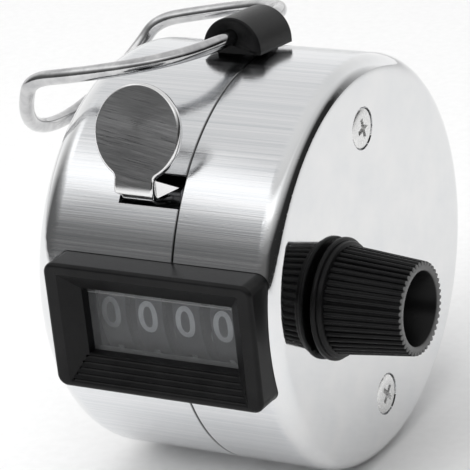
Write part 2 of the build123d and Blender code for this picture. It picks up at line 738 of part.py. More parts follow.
# Ring block: a moulded half-round block whose foot is held in the left shell's notch
block_side = Plane(
    origin=block_plane.from_local_coords((0, -block_length / 2, 0)),
    x_dir=(1, 0, 0),
    z_dir=-block_plane.y_dir,
)
arch_rise = 0.35
foot_gap = 0.35  # from the wall's inside to the foot's lips
foot_lip = 0.7
pin_hole_depth = 2.1
hole_lead = 0.5  # the drilling starts this far outside the block
ring_pivot = block_plane.from_local_coords((0, 0, ring_pivot_height))
ring_plane = Plane(
    origin=ring_pivot, x_dir=(1, 0, 0), z_dir=drum_plane(ring_angle + ring_tilt, 1).z_dir
)
with BuildPart() as ring_block:
    with BuildSketch(block_side):
        with Locations((0, block_lift + arch_rise)):
            Circle(block_half_width)
        with Locations((0, block_lift)):
            Rectangle(2 * block_half_width, arch_rise, align=(Align.CENTER, Align.MIN))
        with Locations((0, block_lift)):
            Rectangle(
                3 * block_half_width,
                3 * block_half_width,
                align=(Align.CENTER, Align.MAX),
                mode=Mode.SUBTRACT,
            )
    extrude(amount=-block_length)
    fillet(edges().filter_by(GeomType.CIRCLE), block_edge_radius)
    with BuildSketch(block_plane.offset(block_lift)):
        Rectangle(2 * foot_half_width, foot_length)
    extrude(amount=-(block_lift + wall + foot_gap))
    with BuildSketch(block_plane.offset(-wall - foot_gap)):
        Rectangle(2 * (foot_half_width + foot_lip), foot_length)
    extrude(amount=-foot_lip)
    for side in (1, -1):
        mouth = ring_plane.from_local_coords((0, side * (block_length / 2 + hole_lead), 0))
        with Locations(Plane(origin=mouth, z_dir=ring_plane.y_dir * side).location):
            Cylinder(
                ring_wire + running,
                pin_hole_depth + hole_lead,
                align=base_down,
                mode=Mode.SUBTRACT,
            )
save(ring_block, "ring_block")

# Finger ring: one bent wire, its ends turned in to pivot in the block
arm_dir = -ring_plane.x_dir * cos(radians(ring_slope)) - ring_plane.z_dir * sin(radians(ring_slope))
bow_dir = -ring_plane.x_dir * cos(radians(bow_slope)) - ring_plane.z_dir * sin(radians(bow_slope))
front_dir = -ring_plane.y_dir
arm_plane = Plane(origin=ring_pivot, x_dir=arm_dir, z_dir=arm_dir.cross(front_dir))
corner_centre = arm_plane.from_local_coords((ring_arm, 0, 0))
bow_plane = Plane(origin=corner_centre, x_dir=bow_dir, z_dir=bow_dir.cross(front_dir))
pin_end_gap = 0.15
pin_straight = 0.8  # beyond the block, before the arm starts to bend
pin_inner = block_length / 2 - pin_hole_depth + pin_end_gap
pin_outer = block_length / 2 + pin_straight
with BuildPart() as finger_ring:
    for side in (1, -1):
        with BuildLine(arm_plane):
            Line((0, side * pin_inner), (0, side * pin_outer))
            Bezier(
                (0, side * pin_outer), (0, side * ring_arm_bulge), (ring_arm, side * ring_half_width)
            )
        pin_end = arm_plane.from_local_coords((0, side * pin_inner, 0))
        with BuildSketch(Plane(origin=pin_end, z_dir=front_dir * side)):
            Circle(ring_wire)
        sweep()
        with Locations(arm_plane.from_local_coords((ring_arm, side * ring_half_width, 0))):
            Sphere(ring_wire)
    with BuildLine(bow_plane) as bow_line:
        ThreePointArc((0, ring_half_width), (bow_depth, 0), (0, -ring_half_width))
    with BuildSketch(Plane(origin=bow_line.line @ 0, z_dir=bow_line.line % 0)):
        Circle(ring_wire)
    sweep(path=bow_line.line)
save(finger_ring, "finger_ring")
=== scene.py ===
"""Hand tally counter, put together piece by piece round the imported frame.

Metres, in the row frame: +X runs along the drum to the reset knob, the window looks along -Y, +Z is up.
"""

import math

import bmesh
import bpy
from mathutils import Matrix, Vector


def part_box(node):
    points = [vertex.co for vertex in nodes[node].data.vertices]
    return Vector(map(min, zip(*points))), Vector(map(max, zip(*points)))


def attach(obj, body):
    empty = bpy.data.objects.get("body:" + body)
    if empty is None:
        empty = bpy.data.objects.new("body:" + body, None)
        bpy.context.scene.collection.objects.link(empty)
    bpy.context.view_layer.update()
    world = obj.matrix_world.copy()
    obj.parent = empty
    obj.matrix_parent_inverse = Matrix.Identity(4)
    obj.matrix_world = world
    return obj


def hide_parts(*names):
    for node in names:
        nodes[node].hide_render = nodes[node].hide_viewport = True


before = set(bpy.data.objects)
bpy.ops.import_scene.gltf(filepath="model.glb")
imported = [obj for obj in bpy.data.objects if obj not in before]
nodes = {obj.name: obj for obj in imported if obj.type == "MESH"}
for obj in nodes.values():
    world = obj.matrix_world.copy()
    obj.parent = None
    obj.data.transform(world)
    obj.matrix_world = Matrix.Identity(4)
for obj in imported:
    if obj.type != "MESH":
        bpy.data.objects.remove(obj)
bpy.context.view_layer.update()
mm = 0.001


# ---------------------------------------------------------------------------------------------------
# Inner frame: two stamped steel plates on the case posts, with turned spacers and a square detent bar.
# Plain mild steel, blanked and left as rolled, so it is dull with faint rolling marks.
def new_finish(name):
    """A new material, its node tree and its Principled shader."""
    material = bpy.data.materials.new(name)
    material.use_nodes = True
    tree = material.node_tree
    return material, tree, tree.nodes["Principled BSDF"]


def add(tree, kind, inputs=None, **settings):
    """A node with its settings. An input given as a socket is linked, and any other value is set."""
    node = tree.nodes.new(kind)
    for key, value in settings.items():
        setattr(node, key, value)
    for key, value in (inputs or {}).items():
        if isinstance(value, bpy.types.NodeSocket):
            tree.links.new(value, node.inputs[key])
        else:
            node.inputs[key].default_value = value
    return node


def maths(tree, operation, *values):
    """The result of a math node on up to three values or sockets."""
    node = add(tree, "ShaderNodeMath", dict(enumerate(values)), operation=operation)
    return node.outputs[0]


def axes(tree, kind="Object"):
    """X, Y and Z of one of the texture coordinates, as outputs."""
    source = add(tree, "ShaderNodeTexCoord").outputs[kind]
    return add(tree, "ShaderNodeSeparateXYZ", {0: source}).outputs


def place(tree, scale=(1, 1, 1), turn=(0, 0, 0)):
    """Object coordinates turned, then stretched: a larger scale packs the pattern closer that way."""
    source = add(tree, "ShaderNodeTexCoord").outputs["Object"]
    mapping = add(tree, "ShaderNodeMapping", {"Vector": source}, vector_type="TEXTURE")
    mapping.inputs["Scale"].default_value = [1 / s for s in scale]
    mapping.inputs["Rotation"].default_value = [math.radians(a) for a in turn]
    return mapping.outputs["Vector"]


def grain(tree, scale, detail=4.0, roughness=0.55, turn=(0, 0, 0)):
    """A noise pattern between 0 and 1, stretched by a scale for each direction."""
    vector = place(tree, scale, turn)
    values = {"Vector": vector, "Scale": 1.0, "Detail": detail, "Roughness": roughness}
    return add(tree, "ShaderNodeTexNoise", values).outputs["Fac"]


def between(tree, value, low, high, start=0.3, end=0.7):
    """A pattern value carried from start..end to low..high."""
    inputs = {"Value": value, "From Min": start, "From Max": end, "To Min": low, "To Max": high}
    return add(tree, "ShaderNodeMapRange", inputs).outputs["Result"]


def blend(tree, share, first, second, **settings):
    """A colour that goes from the first to the second as the share goes from 0 to 1."""
    inputs = {0: share, 6: first, 7: second}
    return add(tree, "ShaderNodeMix", inputs, data_type="RGBA", **settings).outputs[2]


def tint(tree, value, dark, light):
    """A colour between dark and light, by a pattern value."""
    return blend(tree, value, (*dark, 1), (*light, 1))


def relief(tree, shader, height, depth, strength=1.0):
    """Bumps the shader by a height pattern of that depth in metres."""
    inputs = {"Height": height, "Distance": depth, "Strength": strength}
    bump = add(tree, "ShaderNodeBump", inputs)
    tree.links.new(bump.outputs["Normal"], shader.inputs["Normal"])


def bare_metal(name, dark, light, rough, marks, depth):
    """Unpainted metal: colour and roughness follow marks, a scale for each direction."""
    material, tree, shader = new_finish(name)
    lines = grain(tree, marks)
    cloud = grain(tree, (300, 300, 300))
    shader.inputs["Metallic"].default_value = 1.0
    tree.links.new(tint(tree, between(tree, cloud, 0, 1), dark, light), shader.inputs["Base Color"])
    tree.links.new(between(tree, lines, *rough), shader.inputs["Roughness"])
    relief(tree, shader, lines, depth)
    return material


def dress(material, *names):
    """Gives carried-over CAD nodes their material."""
    for name in names:
        nodes[name].data.materials.clear()
        nodes[name].data.materials.append(material)


rolled_steel = bare_metal(
    "rolled_steel", (0.42, 0.42, 0.43), (0.56, 0.56, 0.57), (0.3, 0.5), (900, 2600, 400), 4e-6
)
dress(rolled_steel, "left_frame_plate", "right_frame_plate", "frame_spacers", "detent_bar")
dress(rolled_steel, "upper_case_post", "lower_case_post", "detent_rivets")


# ---------------------------------------------------------------------------------------------------
# Spindle, its bushes and clips: ground steel shaft in turned brass bushes, spring steel clips.
# Turned pieces have their tool marks round the axis, across the drum's length.
turned_brass = bare_metal(
    "turned_brass", (0.62, 0.42, 0.16), (0.78, 0.58, 0.27), (0.25, 0.4), (9000, 200, 200), 3e-6
)
ground_steel = bare_metal(
    "ground_steel", (0.55, 0.55, 0.56), (0.68, 0.68, 0.69), (0.18, 0.3), (12000, 300, 300), 2e-6
)
spring_steel = bare_metal(
    "spring_steel", (0.2, 0.2, 0.22), (0.36, 0.36, 0.38), (0.25, 0.42), (2000, 2000, 2000), 3e-6
)
dress(turned_brass, "spindle_bushes")
dress(ground_steel, "reset_spindle", "spindle_collars", "lever_pin", "pawl_pin")
dress(spring_steel, "spindle_clip", "knob_washer", "lever_pin_clip")


# ---------------------------------------------------------------------------------------------------
# Number wheels: dark moulded wheels on the spindle, each with a hardened ratchet pressed on its hub.
# The digits are pad printed round the rim in pale ink, in order, so that pressing counts upwards.
def smooth_copy(node, name, bevel=0.0, flat=False):
    """A merged copy of a CAD node with smooth curved faces, and softened edges if bevel is given."""
    mesh = bmesh.new()
    mesh.from_mesh(nodes[node].data)
    bmesh.ops.remove_doubles(mesh, verts=mesh.verts, dist=1e-6)
    if flat:
        edges, points = list(mesh.edges), list(mesh.verts)
        bmesh.ops.dissolve_limit(mesh, angle_limit=math.radians(0.4), verts=points, edges=edges)
    data = bpy.data.meshes.new(name)
    mesh.to_mesh(data)
    mesh.free()
    data.shade_smooth()
    data.set_sharp_from_angle(angle=math.radians(32))
    piece = bpy.data.objects.new(name, data)
    bpy.context.scene.collection.objects.link(piece)
    if bevel:
        rounding = piece.modifiers.new("softened edges", "BEVEL")
        rounding.width = bevel
        rounding.segments = 3
        rounding.limit_method = "ANGLE"
        rounding.angle_limit = math.radians(32)
        rounding.harden_normals = True
    weighted = piece.modifiers.new("flat faces first", "WEIGHTED_NORMAL")
    weighted.keep_sharp = True
    return piece


def settle(piece, material, body, slot, *replaced):
    """Dresses a finished piece, hangs it on its body and hides the CAD nodes that it replaces."""
    piece.data.materials.clear()
    piece.data.materials.append(material)
    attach(piece, body)
    if replaced:
        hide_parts(*replaced)


def new_tree(name, **sizes):
    """A Geometry Nodes tree with a mesh going in and coming out, and named inputs of the given kinds."""
    tree = bpy.data.node_groups.new(name, "GeometryNodeTree")
    interface = tree.interface
    interface.new_socket("Geometry", in_out="INPUT", socket_type="NodeSocketGeometry")
    for size, kind in sizes.items():
        label = size.replace("_", " ").title()
        interface.new_socket(label, in_out="INPUT", socket_type="NodeSocket" + kind)
    interface.new_socket("Geometry", in_out="OUTPUT", socket_type="NodeSocketGeometry")
    return tree, tree.nodes.new("NodeGroupInput"), tree.nodes.new("NodeGroupOutput")


def close_tree(tree, shape, given, output):
    """Ends a tree in Realize Instances and Set Material."""
    real = add(tree, "GeometryNodeRealizeInstances", {"Geometry": shape})
    inputs = {"Geometry": real.outputs[0], "Material": given.outputs["Material"]}
    coated = add(tree, "GeometryNodeSetMaterial", inputs)
    tree.links.new(coated.outputs[0], output.inputs[0])


def grow(name, tree, data, **values):
    """Runs a tree on a mesh and returns the plain mesh that it makes, as a new object."""
    seed = bpy.data.objects.new(name, data)
    bpy.context.scene.collection.objects.link(seed)
    modifier = seed.modifiers.new("grown", "NODES")
    modifier.node_group = tree
    sockets = {s.name: s.identifier for s in tree.interface.items_tree if s.in_out == "INPUT"}
    for key, value in values.items():
        modifier[sockets[key.replace("_", " ").title()]] = value
    bpy.context.view_layer.update()
    graph = bpy.context.evaluated_depsgraph_get()
    plain = bpy.data.meshes.new_from_object(seed.evaluated_get(graph), depsgraph=graph)
    seed.modifiers.remove(modifier)
    seed.data = plain
    plain.name = name
    return seed


# The digits are laid out in a flat strip, their strokes are widened by the boldness, and the strip
# is then centred and wrapped onto the rim.
digit_tree, given, output = new_tree(
    "digits_round_a_wheel",
    digit_height="Float",
    rim_radius="Float",
    ink="Float",
    boldness="Float",
    material="Material",
)
letters = add(
    digit_tree,
    "GeometryNodeStringToCurves",
    {"String": "0123456789", "Size": given.outputs["Digit Height"]},
)
digit_number = add(digit_tree, "GeometryNodeInputIndex")
digit_angle = maths(digit_tree, "MULTIPLY", digit_number.outputs[0], math.radians(-36))
digit_rise = maths(digit_tree, "MULTIPLY", digit_angle, given.outputs["Rim Radius"])
strip_place = add(digit_tree, "ShaderNodeCombineXYZ", {"Y": digit_rise})
strip = add(
    digit_tree,
    "GeometryNodeSetPosition",
    {"Geometry": letters.outputs["Curve Instances"], "Position": strip_place.outputs[0]},
)
loose = add(digit_tree, "GeometryNodeRealizeInstances", {"Geometry": strip.outputs[0]})
even = add(
    digit_tree,
    "GeometryNodeResampleCurve",
    {"Curve": loose.outputs[0], "Length": 0.12 * mm},
    mode="LENGTH",
)
level = add(digit_tree, "GeometryNodeSetCurveNormal", {"Curve": even.outputs[0]}, mode="Z_UP")
swell = add(
    digit_tree,
    "ShaderNodeVectorMath",
    {0: add(digit_tree, "GeometryNodeInputNormal").outputs[0], "Scale": given.outputs["Boldness"]},
    operation="SCALE",
)
bold = add(
    digit_tree,
    "GeometryNodeSetPosition",
    {"Geometry": level.outputs[0], "Offset": swell.outputs[0]},
)
filled = add(digit_tree, "GeometryNodeFillCurve", {"Curve": bold.outputs[0]})
thick = add(
    digit_tree,
    "GeometryNodeExtrudeMesh",
    {"Mesh": filled.outputs[0], "Offset Scale": given.outputs["Ink"]},
)
spot = add(
    digit_tree, "ShaderNodeSeparateXYZ", {0: add(digit_tree, "GeometryNodeInputPosition").outputs[0]}
)
half_wide, half_tall = 0.29, 0.355  # of the lettering size
letter_size = given.outputs["Digit Height"]
centred_x = maths(digit_tree, "MULTIPLY_ADD", letter_size, -half_wide, spot.outputs["X"])
centred_y = maths(digit_tree, "MULTIPLY_ADD", letter_size, -half_tall, spot.outputs["Y"])
wrap = maths(digit_tree, "DIVIDE", centred_y, given.outputs["Rim Radius"])
reach = maths(digit_tree, "ADD", given.outputs["Rim Radius"], spot.outputs["Z"])
cosine = maths(digit_tree, "COSINE", wrap)
sine = maths(digit_tree, "SINE", wrap)
inward = maths(digit_tree, "MULTIPLY", cosine, reach)
outward = maths(digit_tree, "MULTIPLY", inward, -1.0)
upward = maths(digit_tree, "MULTIPLY", sine, reach)
wrapped_place = add(
    digit_tree,
    "ShaderNodeCombineXYZ",
    {"X": centred_x, "Y": outward, "Z": upward},
)
wrapped = add(
    digit_tree,
    "GeometryNodeSetPosition",
    {"Geometry": thick.outputs[0], "Position": wrapped_place.outputs[0]},
)
close_tree(digit_tree, wrapped.outputs[0], given, output)

wheel_plastic, tree, shader = new_finish("wheel_plastic")
speckle = grain(tree, (5000, 5000, 5000), detail=2.0)
tree.links.new(
    tint(tree, between(tree, speckle, 0, 1), (0.055, 0.056, 0.06), (0.1, 0.1, 0.105)),
    shader.inputs["Base Color"],
)
tree.links.new(between(tree, speckle, 0.45, 0.65), shader.inputs["Roughness"])
relief(tree, shader, speckle, 8e-6)

digit_ink, tree, shader = new_finish("digit_ink")
ink_patches = grain(tree, (2500, 2500, 2500))
tree.links.new(
    tint(tree, between(tree, ink_patches, 0, 1), (0.72, 0.73, 0.74), (0.9, 0.9, 0.9)),
    shader.inputs["Base Color"],
)
tree.links.new(between(tree, ink_patches, 0.4, 0.6), shader.inputs["Roughness"])

spindle_y = -9.15 * mm
rim_radius = 9.5 * mm
digit_height = 4.85 * mm
hardened_steel = bare_metal(
    "hardened_steel", (0.34, 0.34, 0.35), (0.5, 0.5, 0.51), (0.28, 0.45), (400, 3000, 3000), 3e-6
)
for order in ("thousands", "hundreds", "tens", "units"):
    wheel = smooth_copy(order + "_wheel", order + "_moulded_wheel")
    settle(wheel, wheel_plastic, order, "wheel_plastic", order + "_wheel")
    dress(hardened_steel, order + "_ratchet")
    ratchet_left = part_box(order + "_ratchet")[0].x
    wheel_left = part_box(order + "_wheel")[0].x
    rim_centre = (wheel_left + ratchet_left) / 2
    digits = grow(
        order + "_digits",
        digit_tree,
        bpy.data.meshes.new(order + "_digits"),
        digit_height=digit_height,
        rim_radius=rim_radius,
        ink=0.02 * mm,
        boldness=0.06 * mm,
        material=digit_ink,
    )
    digits.data.transform(Matrix.Translation((rim_centre, spindle_y, 0)))
    settle(digits, digit_ink, order, "wheel_plastic")


# ---------------------------------------------------------------------------------------------------
# Pawl, yoke, detent leaf and their springs: blanked and bent steel that works behind the wheels.
# The leaf and the coils are blued spring steel; the pawl and yoke match the ratchets.
dress(hardened_steel, "pawl_yoke", "pawl_comb")
dress(spring_steel, "lever_spring", "pawl_spring", "detent_spring")


# ---------------------------------------------------------------------------------------------------
# Case shells: two pressed brass cups, polished and chrome plated, butted at the seam.
# The drum keeps fine lines from its last linishing along the length; the end faces are near mirrors.
seam_x = 17.5 * mm
chrome, tree, shader = new_finish("plated_shell")
shader.inputs["Metallic"].default_value = 1.0
shader.inputs["Anisotropic"].default_value = 0.55
facing = axes(tree, "Normal")
flatness = maths(tree, "ABSOLUTE", facing["X"])
on_face = between(tree, flatness, 0, 1, 0.06, 0.35)
on_drum = maths(tree, "SUBTRACT", 1.0, on_face)
streaks = grain(tree, (16, 4200, 4200), detail=5.0, roughness=0.7)
fine_lines = grain(tree, (120, 9000, 9000), detail=2.0)
patches = grain(tree, (220, 220, 220), detail=3.0)
pits = grain(tree, (2600, 2600, 2600), detail=1.0)
drum_tone = tint(tree, between(tree, streaks, 0, 1), (0.68, 0.7, 0.72), (0.88, 0.88, 0.89))
face_tone = tint(tree, between(tree, patches, 0, 1), (0.76, 0.77, 0.78), (0.82, 0.82, 0.82))
plate_tone = blend(tree, on_face, drum_tone, face_tone)
# Painted shade: the plating's colour is darkened almost to black along the seam where the two shells
# butt.
from_seam = maths(tree, "SUBTRACT", axes(tree)["X"], seam_x)
seam_gap = maths(tree, "ABSOLUTE", from_seam)
seam_painted_shade = between(tree, seam_gap, 0.05, 1.0, 0.06 * mm, 0.2 * mm)
seam_shaded_tone = blend(tree, 1.0, plate_tone, seam_painted_shade, blend_type="MULTIPLY")
tree.links.new(seam_shaded_tone, shader.inputs["Base Color"])
drum_rough = between(tree, streaks, 0.1, 0.22)
face_rough = between(tree, patches, 0.04, 0.09)
rough = add(tree, "ShaderNodeMix", {0: on_face, 2: drum_rough, 3: face_rough})
tree.links.new(rough.outputs[0], shader.inputs["Roughness"])
tangent = add(tree, "ShaderNodeTangent", direction_type="RADIAL", axis="X")
tree.links.new(tangent.outputs[0], shader.inputs["Tangent"])
line_height = maths(tree, "MULTIPLY_ADD", streaks, 0.6, fine_lines)
drum_height = maths(tree, "MULTIPLY", line_height, on_drum)
dents = between(tree, pits, 0.25, 0.0, 0.66, 0.72)
height = maths(tree, "SUBTRACT", drum_height, dents)
relief(tree, shader, height, 6e-6)
for side in ("left_shell", "right_shell"):
    shell = smooth_copy(side, "plated_" + side, flat=True)
    settle(shell, chrome, "case", "chrome_shell", side)


# ---------------------------------------------------------------------------------------------------
# Ring block: a half-round moulding in black acetal, its foot snapped into the left shell's notch.
# The same satin black goes on the window bezel and the knob, whose end is rubbed paler.
tip_start, tip_full = 38.72 * mm, 38.84 * mm
black, tree, shader = new_finish("satin_black")
skin = grain(tree, (7000, 7000, 7000), detail=3.0)
clouds = grain(tree, (350, 350, 350))
moulded_tone = tint(tree, between(tree, clouds, 0, 1), (0.003, 0.003, 0.0033), (0.007, 0.007, 0.0073))
at_tip = between(tree, axes(tree)["X"], 0, 1, tip_start, tip_full)
handled = blend(tree, at_tip, moulded_tone, (0.14, 0.14, 0.14, 1))
tree.links.new(handled, shader.inputs["Base Color"])
tree.links.new(between(tree, skin, 0.27, 0.4), shader.inputs["Roughness"])
shader.inputs["Specular IOR Level"].default_value = 0.17
relief(tree, shader, skin, 9e-6)
block = smooth_copy("ring_block", "moulded_ring_block")
settle(block, black, "case", "black_plastic", "ring_block")


# ---------------------------------------------------------------------------------------------------
# Finger ring: one length of plated steel wire, bent in a jig, its ends sprung into the block's holes.
# The arms bow out sideways from the block, and the far end turns down beside the drum.
wire_radius = 0.8 * mm
block_turn, ring_turn = math.radians(96.5), math.radians(94.5)
block_out = Vector((0, -math.cos(block_turn), math.sin(block_turn)))
ring_out = Vector((0, -math.cos(ring_turn), math.sin(ring_turn)))
ring_side = Vector((0, -math.sin(ring_turn), -math.cos(ring_turn)))
ring_pivot = Vector((15.16 * mm, 0, 0)) + block_out * 24.15 * mm
arm_slope, bow_slope = math.radians(10.4), math.radians(58.4)
arm_way = Vector((-math.cos(arm_slope), 0, 0)) - ring_out * math.sin(arm_slope)
bow_way = Vector((-math.cos(bow_slope), 0, 0)) - ring_out * math.sin(bow_slope)
arm_length, half_width, bow_depth = 19.3 * mm, 12.83 * mm, 9.9 * mm
pin_end, pin_bend, arm_bulge = 1.6 * mm, 4.35 * mm, 16.0 * mm
bow_radius = (half_width**2 + bow_depth**2) / (2 * bow_depth)
bow_half_angle = math.asin(half_width / bow_radius)
bow_corner = ring_pivot + arm_way * arm_length


def curve_through(start, pull, end, steps):
    """Points along a curve that leaves start towards pull and arrives at end from pull."""
    shares = [step / steps for step in range(steps + 1)]
    return [start * (1 - t) ** 2 + pull * 2 * t * (1 - t) + end * t * t for t in shares]


def bow_point(swing):
    """A point on the bow's arc, at an angle from its middle."""
    depth = bow_depth - bow_radius * (1 - math.cos(swing))
    return bow_corner + bow_way * depth + ring_side * bow_radius * math.sin(swing)


# Each arm leaves its pin in one long curve and turns in again to meet the bow's arc.
arms = []
arc_end = bow_half_angle * 0.9
for side in (1, -1):
    bend_start = ring_pivot + ring_side * side * pin_bend
    bulge = ring_pivot + ring_side * side * arm_bulge
    corner = bow_corner + ring_side * side * half_width
    arm = curve_through(bend_start, bulge, corner, 40)[:-3]
    turned_in = curve_through(arm[-1], corner, bow_point(side * arc_end), 10)
    arms.append([ring_pivot + ring_side * side * pin_end, *arm, *turned_in[1:]])
bow = [bow_point(arc_end * (1 - step / 20)) for step in range(1, 40)]
wire_path = arms[0] + bow + arms[1][::-1]

wire_tree, given, output = new_tree("bent_wire", wire_radius="Float", material="Material")
as_curve = add(wire_tree, "GeometryNodeMeshToCurve", {"Mesh": given.outputs["Geometry"]})
section = add(
    wire_tree,
    "GeometryNodeCurvePrimitiveCircle",
    {"Resolution": 28, "Radius": given.outputs["Wire Radius"]},
)
wire = add(
    wire_tree,
    "GeometryNodeCurveToMesh",
    {"Curve": as_curve.outputs[0], "Profile Curve": section.outputs[0], "Fill Caps": True},
)
close_tree(wire_tree, wire.outputs[0], given, output)

polished_wire, tree, shader = new_finish("plated_wire")
shader.inputs["Metallic"].default_value = 1.0
wire_marks = grain(tree, (600, 600, 600), detail=5.0)
tree.links.new(
    tint(tree, between(tree, wire_marks, 0, 1), (0.42, 0.42, 0.43), (0.64, 0.64, 0.64)),
    shader.inputs["Base Color"],
)
tree.links.new(between(tree, wire_marks, 0.07, 0.16), shader.inputs["Roughness"])
relief(tree, shader, grain(tree, (2200, 2200, 2200), detail=2.0), 4e-6)

path_mesh = bpy.data.meshes.new("wire_path")
pairs = [(i, i + 1) for i in range(len(wire_path) - 1)]
path_mesh.from_pydata(wire_path, pairs, [])
finger_wire = grow(
    "finger_wire", wire_tree, path_mesh, wire_radius=wire_radius, material=polished_wire
)
finger_wire.data.shade_smooth()
finger_wire.data.set_sharp_from_angle(angle=math.radians(50))
settle(finger_wire, polished_wire, "ring", "ring_wire", "finger_ring")


# ---------------------------------------------------------------------------------------------------
# Thumb lever: blanked from steel plate as a disc on a neck, tumbled to round its edges, its face
# brushed across, then bent in through the slot. Its tab is brazed to the yoke's sleeve.
disc_radius, disc_rise, neck_half = 5.0 * mm, 12.5 * mm, 2.3 * mm
plate_thickness, plate_mid = 0.9 * mm, 21.65 * mm
bend_rise, bend_radius = 5.75 * mm, 1.3 * mm
lean = math.radians(20)
lever_x = 12.4 * mm
pivot = Vector((0, -13.406 * mm, 11.249 * mm))
plate_out = Vector((0, -math.cos(lean), math.sin(lean)))
plate_up = Vector((0, math.sin(lean), math.cos(lean)))
bend_point = plate_out * plate_mid + plate_up * bend_rise
tab_way = (pivot - bend_point).normalized()
bend_angle = math.acos((-plate_up).dot(tab_way))
bend_setback = bend_radius * math.tan(bend_angle / 2)
bend_top = bend_rise + bend_setback
bend_end = bend_top - bend_radius * bend_angle
tab_end = bend_end - ((pivot - bend_point).length - bend_setback - 1.5 * mm)

waist = 0.8 * mm
waist_x = neck_half + waist
waist_rise = disc_rise - math.sqrt((disc_radius + waist) ** 2 - waist_x**2)
outline = [(neck_half, tab_end), (neck_half, waist_rise)]
waist_turn = math.acos(waist_x / (disc_radius + waist))
for step in range(1, 9):
    a = math.pi - waist_turn * step / 8
    outline.append((waist_x + waist * math.cos(a), waist_rise + waist * math.sin(a)))
disc_start, disc_steps = -waist_turn, 96
for step in range(1, disc_steps):
    a = disc_start + (math.pi + 2 * waist_turn) * step / disc_steps
    outline.append((disc_radius * math.cos(a), disc_rise + disc_radius * math.sin(a)))
outline += [(-x, rise) for x, rise in reversed(outline[1:10])]
step_top, step_foot = 6.35 * mm, 6.1 * mm
tab_left = 0.7 * mm - neck_half
outline += [(-neck_half, step_top), (tab_left, step_foot), (tab_left, tab_end)]

blank = bmesh.new()
face = blank.faces.new([blank.verts.new((x, rise, plate_thickness / 2)) for x, rise in outline])
swept = bmesh.ops.extrude_face_region(blank, geom=[face])
moved = [g for g in swept["geom"] if isinstance(g, bmesh.types.BMVert)]
bmesh.ops.translate(blank, verts=moved, vec=(0, 0, -plate_thickness))
bmesh.ops.recalc_face_normals(blank, faces=blank.faces)
rims = [e for e in blank.edges if abs(e.verts[0].co.z - e.verts[1].co.z) < 1e-9]
rims = [e for e in rims if abs(e.calc_face_angle(0)) > 1]
bmesh.ops.bevel(
    blank, geom=rims, offset=0.32 * mm, segments=5, profile=0.5, affect="EDGES", clamp_overlap=True
)
cuts = [bend_top - (bend_top - bend_end) * step / 12 for step in range(13)]
for cut in cuts:
    everything = list(blank.verts) + list(blank.edges) + list(blank.faces)
    bmesh.ops.bisect_plane(blank, geom=everything, plane_co=(0, cut, 0), plane_no=(0, 1, 0))
for vertex in blank.verts:
    x, rise, lift = vertex.co
    if rise >= bend_top:
        point = plate_out * (plate_mid + lift) + plate_up * rise
    else:
        turn = min((bend_top - rise) / bend_radius, bend_angle)
        centre = plate_out * (plate_mid - bend_radius) + plate_up * bend_top
        radial = plate_out * math.cos(turn) - plate_up * math.sin(turn)
        along = -plate_out * math.sin(turn) - plate_up * math.cos(turn)
        straight = max(0.0, bend_end - rise)
        point = centre + radial * (bend_radius + lift) + along * straight
    vertex.co = Vector((lever_x + x, point.y, point.z))

# A thin web in the corner between the neck and the tab: its thickness and corners in millimetres.
web_thickness = 0.5
web_corners = ((14.6, -17.37, 14.6), (16.7, -16.5, 13.75), (14.6, -17.6, 12.8))
web = [Vector(corner) * mm for corner in web_corners]
web_out = (web[2] - web[0]).cross(web[1] - web[0]).normalized()
outer = [blank.verts.new(point) for point in web]
inner = [blank.verts.new(point - web_out * web_thickness * mm) for point in web]
web_faces = [blank.faces.new(outer), blank.faces.new(inner[::-1])]
for i in range(3):
    j = (i + 1) % 3
    web_faces.append(blank.faces.new((outer[j], outer[i], inner[i], inner[j])))
bmesh.ops.recalc_face_normals(blank, faces=web_faces)
lever_data = bpy.data.meshes.new("thumb_plate")
blank.to_mesh(lever_data)
blank.free()
lever_data.shade_smooth()
lever_data.set_sharp_from_angle(angle=math.radians(40))
thumb_plate = bpy.data.objects.new("thumb_plate", lever_data)
bpy.context.scene.collection.objects.link(thumb_plate)
thumb_plate.modifiers.new("flat faces first", "WEIGHTED_NORMAL").keep_sharp = True

brushed, tree, shader = new_finish("brushed_lever")
shader.inputs["Metallic"].default_value = 1.0
shader.inputs["Anisotropic"].default_value = 0.4
normal = add(tree, "ShaderNodeTexCoord").outputs["Normal"]
toward = add(
    tree, "ShaderNodeVectorMath", {0: normal, 1: tuple(plate_out)}, operation="DOT_PRODUCT"
)
on_plate = between(tree, toward.outputs["Value"], 0, 1, 0.93, 0.995)
brush = grain(tree, (260, 260, 14000), detail=4.0, roughness=0.7, turn=(0, 8, 0))
coarse = grain(tree, (900, 900, 900), detail=3.0)
brushed_tone = tint(tree, between(tree, brush, 0, 1), (0.3, 0.305, 0.31), (0.5, 0.5, 0.505))
lever_tone = blend(tree, on_plate, (0.8, 0.8, 0.8, 1), brushed_tone)
tree.links.new(lever_tone, shader.inputs["Base Color"])
brushed_rough = between(tree, brush, 0.26, 0.42)
edge_rough = between(tree, coarse, 0.1, 0.2)
lever_rough = add(tree, "ShaderNodeMix", {0: on_plate, 2: edge_rough, 3: brushed_rough})
tree.links.new(lever_rough.outputs[0], shader.inputs["Roughness"])
brush_height = maths(tree, "MULTIPLY", brush, on_plate)
relief(tree, shader, brush_height, 7e-6)
settle(thumb_plate, brushed, "lever", "lever_steel", "thumb_lever")


# ---------------------------------------------------------------------------------------------------
# Window: a black moulded bezel pushed through both shells, and a clear pane held behind its opening.
# The bezel's edges are slightly worn; the pane is thin acrylic with a little haze and dust.
bezel = smooth_copy("window_bezel", "moulded_bezel", bevel=0.05 * mm, flat=True)
settle(bezel, black, "case", "black_plastic", "window_bezel")

pane, tree, shader = new_finish("clear_pane")
dust = grain(tree, (1800, 1800, 1800), detail=6.0)
shader.inputs["Base Color"].default_value = (0.3, 0.305, 0.31, 1)
tree.links.new(between(tree, dust, 0.03, 0.09), shader.inputs["Roughness"])
edge_on = add(tree, "ShaderNodeFresnel", {"IOR": 1.45})
haze = between(tree, dust, 0.1, 0.14)
